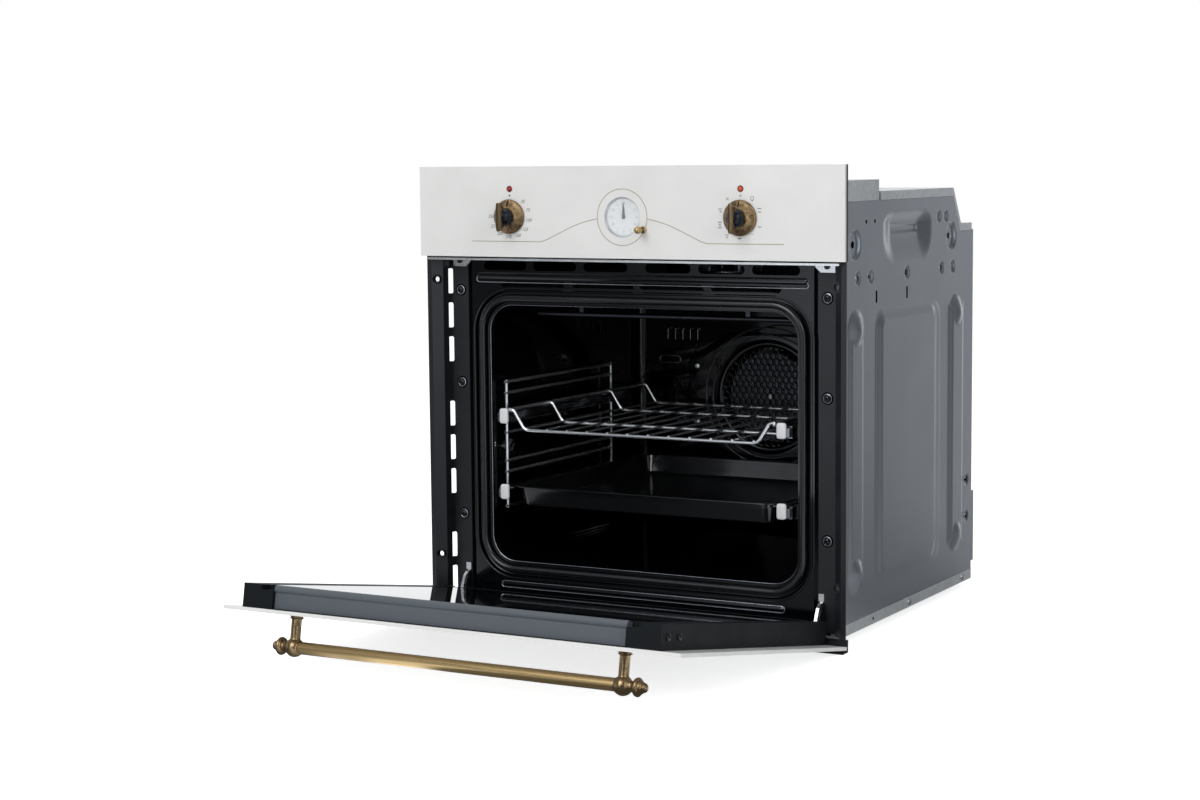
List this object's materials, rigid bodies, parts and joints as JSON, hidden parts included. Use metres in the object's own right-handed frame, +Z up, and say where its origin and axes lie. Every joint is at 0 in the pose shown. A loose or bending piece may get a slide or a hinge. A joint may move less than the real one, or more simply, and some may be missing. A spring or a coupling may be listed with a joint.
{
  "type": "built-in electric oven",
  "caption": "Built-in electric oven: white glass front with knobs and a clock, drop-down door with a brass handle, black cavity with a sliding rack and tray, pressed grey casing.",
  "frame": {"origin": "on the base plate's underside, in the middle of the oven's width, in the plane where the front posts' lips meet the cabinet", "axes": "+X to the oven's right as seen by its user, +Y towards its back, +Z up; the door is open"},
  "size_m": [0.595, 0.9278, 0.584],
  "materials": {
    "base_plate": "satin",
    "bottom_trim": "satin",
    "left_front_post": "satin",
    "right_front_post": "satin",
    "casing_screws": "satin",
    "front_plate": "gloss enamel",
    "door_gasket": "matt",
    "cavity_liner": "gloss enamel",
    "left_side_panel": "satin",
    "right_side_panel": "satin",
    "top_cover": "galvanised",
    "control_box_cover": "galvanised",
    "back_panel": "satin",
    "rear_cover": "satin",
    "control_panel": "white back-painted glass",
    "panel_housing": "matt",
    "vent_trim": "bright",
    "red_lamp": "clear red",
    "orange_lamp": "clear orange",
    "clock_dial": "printed",
    "clock_bezel": "satin",
    "clock_glass": "clear",
    "clock_movement": "matt",
    "thermostat": "matt",
    "function_switch": "matt",
    "insulation": "mineral wool",
    "grill_element": "heat darkened",
    "bottom_element": "heat darkened",
    "ring_element": "heat darkened",
    "fan_baffle": "gloss enamel",
    "fan_motor": "galvanised",
    "fan_blade": "plain",
    "lamp_glass": "clear",
    "lamp_socket": "ceramic",
    "left_side_rack": "chromed wire",
    "right_side_rack": "chromed wire",
    "slide_rails": "bright",
    "upper_slide_runners": "bright",
    "lower_slide_runners": "bright",
    "air_duct": "galvanised",
    "blower_wheel": "plain",
    "terminal_block": "matt",
    "hinge_arms": "bright plated",
    "hinge_bodies": "bright plated",
    "door_outer_glass": "white back-painted glass",
    "door_frame": "satin",
    "door_top_profile": "textured",
    "door_inner_glass": "dark reflective",
    "handle_bar": "antique brass",
    "handle_posts": "antique brass",
    "door_screws": "satin",
    "temperature_knob": "antique bronze",
    "temperature_knob_cap": "gloss",
    "function_knob": "antique bronze",
    "function_knob_cap": "gloss",
    "hour_hand": "satin",
    "minute_hand": "satin",
    "clock_set_knob": "antique brass",
    "wire_rack": "chromed wire",
    "baking_tray": "gloss enamel"
  },
  "bodies": {
    "oven": {"base_plate": "base_plate", "bottom_trim": "bottom_trim", "left_front_post": "left_front_post", "right_front_post": "right_front_post", "casing_screws": "casing_screws", "front_plate": "front_plate", "door_gasket": "door_gasket", "cavity_liner": "cavity_liner", "left_side_panel": "left_side_panel", "right_side_panel": "right_side_panel", "top_cover": "top_cover", "control_box_cover": "control_box_cover", "back_panel": "back_panel", "rear_cover": "rear_cover", "control_panel": "control_panel", "panel_housing": "panel_housing", "vent_trim": "vent_trim", "red_lamp": "red_lamp", "orange_lamp": "orange_lamp", "clock_dial": "clock_dial", "clock_bezel": "clock_bezel", "clock_glass": "clock_glass", "clock_movement": "clock_movement", "thermostat": "thermostat", "function_switch": "function_switch", "insulation": "insulation", "grill_element": "grill_element", "bottom_element": "bottom_element", "ring_element": "ring_element", "fan_baffle": "fan_baffle", "fan_motor": "fan_motor", "lamp_glass": "lamp_glass", "lamp_socket": "lamp_socket", "left_side_rack": "left_side_rack", "right_side_rack": "right_side_rack", "slide_rails": "slide_rails", "air_duct": "air_duct", "terminal_block": "terminal_block", "hinge_arms": "hinge_arms"},
    "door": {"hinge_bodies": "hinge_bodies", "door_outer_glass": "door_outer_glass", "door_frame": "door_frame", "door_top_profile": "door_top_profile", "door_inner_glass": "door_inner_glass", "handle_bar": "handle_bar", "handle_posts": "handle_posts", "door_screws": "door_screws"},
    "temperature_knob": {"temperature_knob": "temperature_knob", "temperature_knob_cap": "temperature_knob_cap"},
    "function_knob": {"function_knob": "function_knob", "function_knob_cap": "function_knob_cap"},
    "clock_set_knob": {"clock_set_knob": "clock_set_knob"},
    "minute_hand": {"minute_hand": "minute_hand"},
    "hour_hand": {"hour_hand": "hour_hand"},
    "upper_shelf": {"upper_slide_runners": "upper_slide_runners", "wire_rack": "wire_rack"},
    "lower_shelf": {"lower_slide_runners": "lower_slide_runners", "baking_tray": "baking_tray"},
    "fan": {"fan_blade": "fan_blade"},
    "blower": {"blower_wheel": "blower_wheel"}
  },
  "joints": [
    {"name": "door_hinge", "type": "hinge", "parent": "oven", "child": "door", "pos_m": [0, 0.0045, 0.0065], "axis": [1, 0, 0], "range_deg": [-80, 0]},
    {"name": "temperature_turn", "type": "hinge", "parent": "oven", "child": "temperature_knob", "pos_m": [-0.162, -0.0103, 0.5102], "axis": [0, 1, 0], "range_deg": [0, 275]},
    {"name": "function_turn", "type": "hinge", "parent": "oven", "child": "function_knob", "pos_m": [0.162, -0.0103, 0.5102], "axis": [0, 1, 0], "continuous": true},
    {"name": "clock_set_turn", "type": "hinge", "parent": "oven", "child": "clock_set_knob", "pos_m": [0.03, -0.0103, 0.4949], "axis": [0, 1, 0], "continuous": true},
    {"name": "minute_hand_turn", "type": "hinge", "parent": "oven", "child": "minute_hand", "pos_m": [0, -0.006, 0.5102], "axis": [0, 1, 0], "continuous": true},
    {"name": "hour_hand_turn", "type": "hinge", "parent": "oven", "child": "hour_hand", "pos_m": [0, -0.006, 0.5102], "axis": [0, 1, 0], "continuous": true},
    {"name": "upper_shelf_slide", "type": "slide", "parent": "oven", "child": "upper_shelf", "axis": [0, -1, 0], "range_m": [0, 0.26]},
    {"name": "lower_shelf_slide", "type": "slide", "parent": "oven", "child": "lower_shelf", "axis": [0, -1, 0], "range_m": [0, 0.26]},
    {"name": "fan_spin", "type": "hinge", "parent": "oven", "child": "fan", "pos_m": [0, 0.4302, 0.246], "axis": [0, 1, 0], "continuous": true},
    {"name": "blower_spin", "type": "hinge", "parent": "oven", "child": "blower", "pos_m": [0, 0.33, 0.434], "axis": [0, 0, 1], "continuous": true}
  ],
  "couplings": [
    {"joint": "minute_hand_turn", "follows": "clock_set_turn", "ratio": -1},
    {"joint": "hour_hand_turn", "follows": "clock_set_turn", "ratio": -0.083333}
  ]
}
